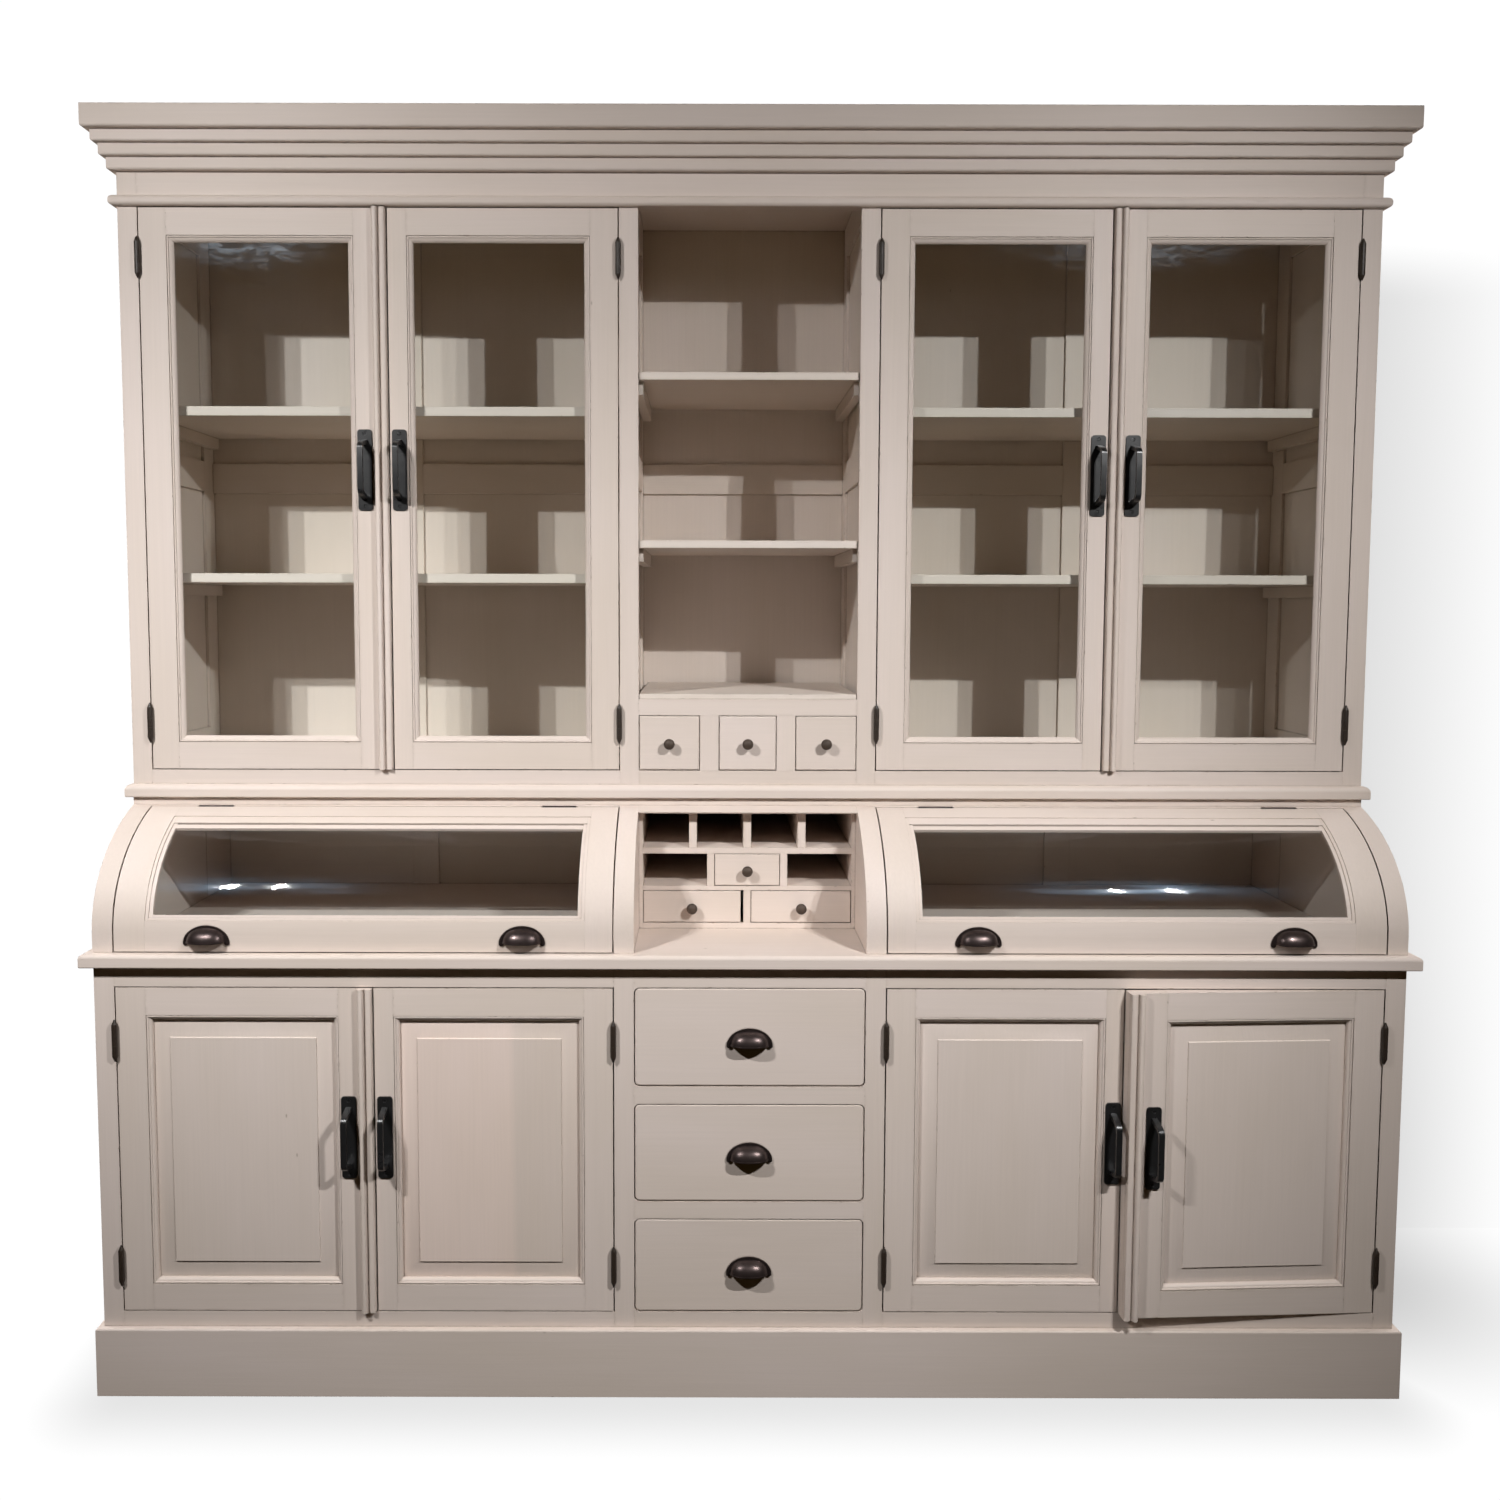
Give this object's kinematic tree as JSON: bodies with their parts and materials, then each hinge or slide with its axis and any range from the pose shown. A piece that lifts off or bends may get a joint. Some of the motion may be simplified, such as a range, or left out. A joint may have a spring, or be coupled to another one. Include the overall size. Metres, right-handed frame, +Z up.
{
  "type": "shop cabinet",
  "caption": "Tall painted shop cabinet: glazed hutch over curved glass-lidded displays, a pigeonhole desk niche, panelled cupboards and drawers.",
  "frame": {"origin": "floor level under the middle of the plinth", "axes": "+X to the right seen from the front, +Y into the depth towards the wall, +Z up"},
  "size_m": [2.492, 0.669, 2.398],
  "materials": {
    "paint": "worn matt milk paint over wood",
    "glass": "clear",
    "iron": "black japanned, glossy",
    "bronze": "dark oiled bronze"
  },
  "bodies": {
    "carcass": {"plinth": "paint", "base_carcass": "paint", "base_face_frame": "paint", "base_interior": "paint", "worktop": "paint", "curved_ends": "paint", "hinge_rail": "paint", "pigeonhole_rack": "paint", "waist_board": "paint", "hutch_uprights": "paint", "hutch_face_frame": "paint", "hutch_shelves": "paint", "back_boards": "paint", "cornice": "paint", "hinge_fixed_leaves": "iron"},
    "upper_left_outer_door": {"upper_left_outer_door_frame": "paint", "upper_left_outer_door_glass": "glass", "upper_left_outer_door_iron": "iron"},
    "upper_left_inner_door": {"upper_left_inner_door_frame": "paint", "upper_left_inner_door_glass": "glass", "upper_left_inner_door_iron": "iron"},
    "lower_left_outer_door": {"lower_left_outer_door_wood": "paint", "lower_left_outer_door_iron": "iron"},
    "lower_left_inner_door": {"lower_left_inner_door_wood": "paint", "lower_left_inner_door_iron": "iron"},
    "upper_right_outer_door": {"upper_right_outer_door_frame": "paint", "upper_right_outer_door_glass": "glass", "upper_right_outer_door_iron": "iron"},
    "upper_right_inner_door": {"upper_right_inner_door_frame": "paint", "upper_right_inner_door_glass": "glass", "upper_right_inner_door_iron": "iron"},
    "lower_right_outer_door": {"lower_right_outer_door_wood": "paint", "lower_right_outer_door_iron": "iron"},
    "lower_right_inner_door": {"lower_right_inner_door_wood": "paint", "lower_right_inner_door_iron": "iron"},
    "left_lid": {"left_lid_frame": "paint", "left_lid_glass": "glass", "left_lid_iron": "bronze"},
    "right_lid": {"right_lid_frame": "paint", "right_lid_glass": "glass", "right_lid_iron": "bronze"},
    "top_drawer": {"top_drawer_box": "paint", "top_drawer_pull": "bronze"},
    "middle_drawer": {"middle_drawer_box": "paint", "middle_drawer_pull": "bronze"},
    "bottom_drawer": {"bottom_drawer_box": "paint", "bottom_drawer_pull": "bronze"},
    "small_drawer_left": {"small_drawer_left_box": "paint", "small_drawer_left_knob": "bronze"},
    "small_drawer_centre": {"small_drawer_centre_box": "paint", "small_drawer_centre_knob": "bronze"},
    "small_drawer_right": {"small_drawer_right_box": "paint", "small_drawer_right_knob": "bronze"},
    "desk_drawer_centre": {"desk_drawer_centre_box": "paint", "desk_drawer_centre_knob": "bronze"},
    "desk_drawer_left": {"desk_drawer_left_box": "paint", "desk_drawer_left_knob": "bronze"},
    "desk_drawer_right": {"desk_drawer_right_box": "paint", "desk_drawer_right_knob": "bronze"}
  },
  "joints": [
    {"name": "upper_left_outer_door_hinge", "type": "hinge", "parent": "carcass", "child": "upper_left_outer_door", "pos_m": [-1.162, -0.1131, 1.6845], "axis": [0, 0, -1], "range_deg": [0, 100]},
    {"name": "upper_left_inner_door_hinge", "type": "hinge", "parent": "carcass", "child": "upper_left_inner_door", "pos_m": [-0.25, -0.1131, 1.6845], "axis": [0, 0, 1], "range_deg": [0, 90]},
    {"name": "lower_left_outer_door_hinge", "type": "hinge", "parent": "carcass", "child": "lower_left_outer_door", "pos_m": [-1.162, -0.3031, 0.461], "axis": [0, 0, -1], "range_deg": [0, 100]},
    {"name": "lower_left_inner_door_hinge", "type": "hinge", "parent": "carcass", "child": "lower_left_inner_door", "pos_m": [-0.25, -0.3031, 0.461], "axis": [0, 0, 1], "range_deg": [0, 90]},
    {"name": "upper_right_outer_door_hinge", "type": "hinge", "parent": "carcass", "child": "upper_right_outer_door", "pos_m": [1.162, -0.1131, 1.6845], "axis": [0, 0, 1], "range_deg": [0, 100]},
    {"name": "upper_right_inner_door_hinge", "type": "hinge", "parent": "carcass", "child": "upper_right_inner_door", "pos_m": [0.25, -0.1131, 1.6845], "axis": [0, 0, -1], "range_deg": [0, 90]},
    {"name": "lower_right_outer_door_hinge", "type": "hinge", "parent": "carcass", "child": "lower_right_outer_door", "pos_m": [1.162, -0.3031, 0.461], "axis": [0, 0, 1], "range_deg": [-2.8, 97.2]},
    {"name": "lower_right_inner_door_hinge", "type": "hinge", "parent": "carcass", "child": "lower_right_inner_door", "pos_m": [0.25, -0.3031, 0.461], "axis": [0, 0, -1], "range_deg": [0, 90]},
    {"name": "left_lid_hinge", "type": "hinge", "parent": "carcass", "child": "left_lid", "pos_m": [-0.7, -0.11638, 1.07789], "axis": [-1, 0, 0], "range_deg": [0, 50]},
    {"name": "right_lid_hinge", "type": "hinge", "parent": "carcass", "child": "right_lid", "pos_m": [0.7, -0.11638, 1.07789], "axis": [-1, 0, 0], "range_deg": [0, 50]},
    {"name": "top_drawer_slide", "type": "slide", "parent": "carcass", "child": "top_drawer", "axis": [0, -1, 0], "range_m": [0, 0.3]},
    {"name": "middle_drawer_slide", "type": "slide", "parent": "carcass", "child": "middle_drawer", "axis": [0, -1, 0], "range_m": [0, 0.3]},
    {"name": "bottom_drawer_slide", "type": "slide", "parent": "carcass", "child": "bottom_drawer", "axis": [0, -1, 0], "range_m": [0, 0.3]},
    {"name": "small_drawer_left_slide", "type": "slide", "parent": "carcass", "child": "small_drawer_left", "axis": [0, -1, 0], "range_m": [0, 0.2]},
    {"name": "small_drawer_centre_slide", "type": "slide", "parent": "carcass", "child": "small_drawer_centre", "axis": [0, -1, 0], "range_m": [0, 0.2]},
    {"name": "small_drawer_right_slide", "type": "slide", "parent": "carcass", "child": "small_drawer_right", "axis": [0, -1, 0], "range_m": [0, 0.2]},
    {"name": "desk_drawer_centre_slide", "type": "slide", "parent": "carcass", "child": "desk_drawer_centre", "axis": [0, -1, 0], "range_m": [0, 0.15]},
    {"name": "desk_drawer_left_slide", "type": "slide", "parent": "carcass", "child": "desk_drawer_left", "axis": [0, -1, 0], "range_m": [0, 0.15]},
    {"name": "desk_drawer_right_slide", "type": "slide", "parent": "carcass", "child": "desk_drawer_right", "axis": [0, -1, 0], "range_m": [0, 0.15]}
  ]
}
